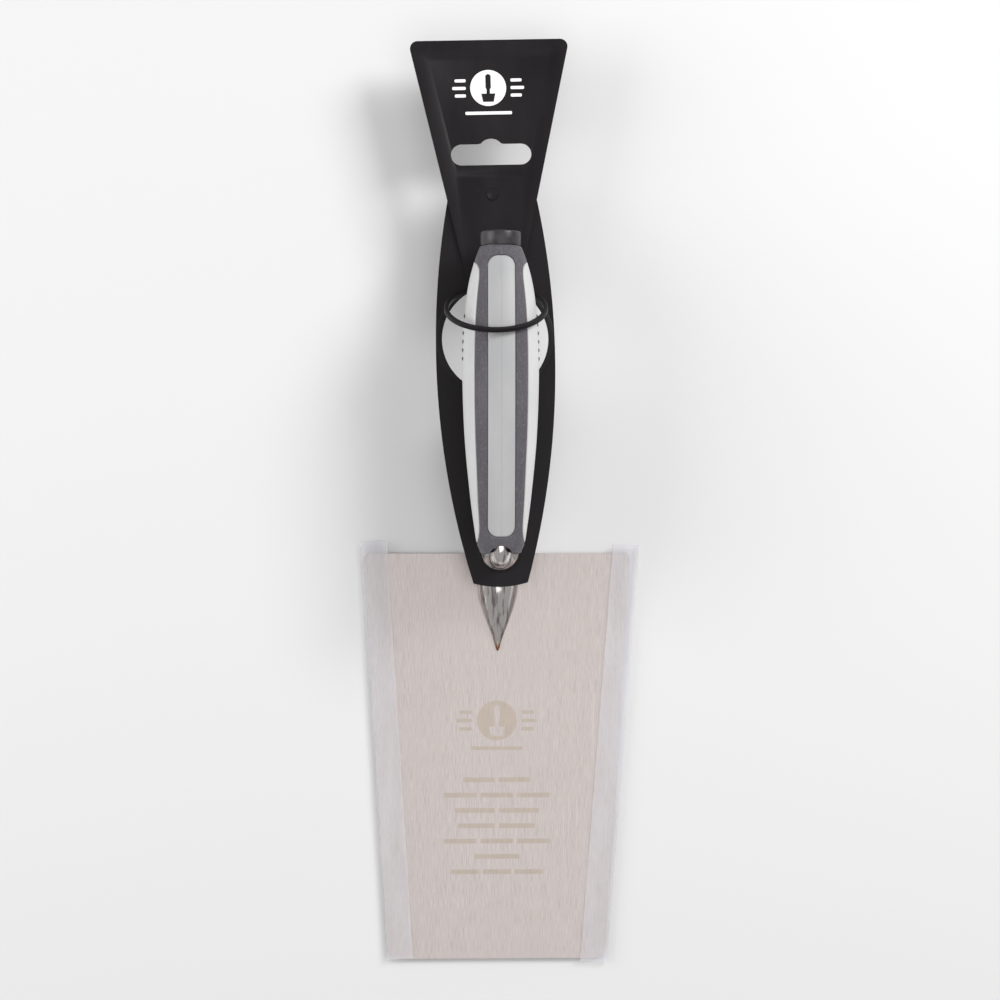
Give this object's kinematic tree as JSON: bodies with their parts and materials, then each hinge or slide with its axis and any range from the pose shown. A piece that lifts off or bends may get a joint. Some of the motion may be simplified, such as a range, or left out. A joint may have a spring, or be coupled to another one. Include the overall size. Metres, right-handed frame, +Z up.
{
  "type": "bucket trowel",
  "caption": "Bucket trowel with a flat tapered steel blade, cranked tang, two-tone grip, clear edge guards and a black plastic hanger tied round the handle.",
  "frame": {"origin": "middle of the object's base, on the surface that the blade and its guards lie on", "axes": "+Y along the tool from the blade's toe towards the hanger's top, +Z up from the surface, +X across"},
  "size_m": [0.1141, 0.3722, 0.063],
  "materials": {
    "brushed_steel": "stainless sheet, brushed lengthwise",
    "polished_steel": "polished steel with a heat tint at the weld",
    "grey_core": "light grey moulded plastic, satin",
    "grip_rubber": "dark grey soft overmould, fine texture",
    "cap_plastic": "dark grey smooth plastic",
    "frosted_plastic": "frosted translucent extruded plastic",
    "hanger_black": "black moulded polypropylene, satin"
  },
  "bodies": {
    "trowel": {"blade": "brushed_steel", "tang": "polished_steel", "handle_core": "grey_core", "grip_sleeve": "grip_rubber", "butt_cap": "cap_plastic"},
    "hanger": {"hanger_leaf": "hanger_black", "hanger_header": "hanger_black", "hanger_stud": "hanger_black"},
    "ring": {"hanger_ring": "hanger_black"},
    "guard_left": {"edge_guard_left": "frosted_plastic"},
    "guard_right": {"edge_guard_right": "frosted_plastic"}
  },
  "joints": [
    {"name": "hanger_sway", "type": "hinge", "parent": "trowel", "child": "hanger", "pos_m": [-0.00102, -0.02021, 0.0245], "axis": [0, 0, 1], "range_deg": [-3.2, 1.1]},
    {"name": "ring_hinge", "type": "hinge", "parent": "hanger", "child": "ring", "pos_m": [-0.00306, 0.08831, 0.0255], "axis": [-0.9997, -0.0225, 0], "range_deg": [0, 65], "stiffness_Nm_per_rad": 0.0003, "springref_deg": -28.65},
    {"name": "guard_left_slide", "type": "slide", "parent": "trowel", "child": "guard_left", "axis": [-0.9981, -0.0622, 0], "range_m": [0, 0.014]},
    {"name": "guard_right_slide", "type": "slide", "parent": "trowel", "child": "guard_right", "axis": [0.9969, -0.0786, 0], "range_m": [0, 0.014]}
  ]
}
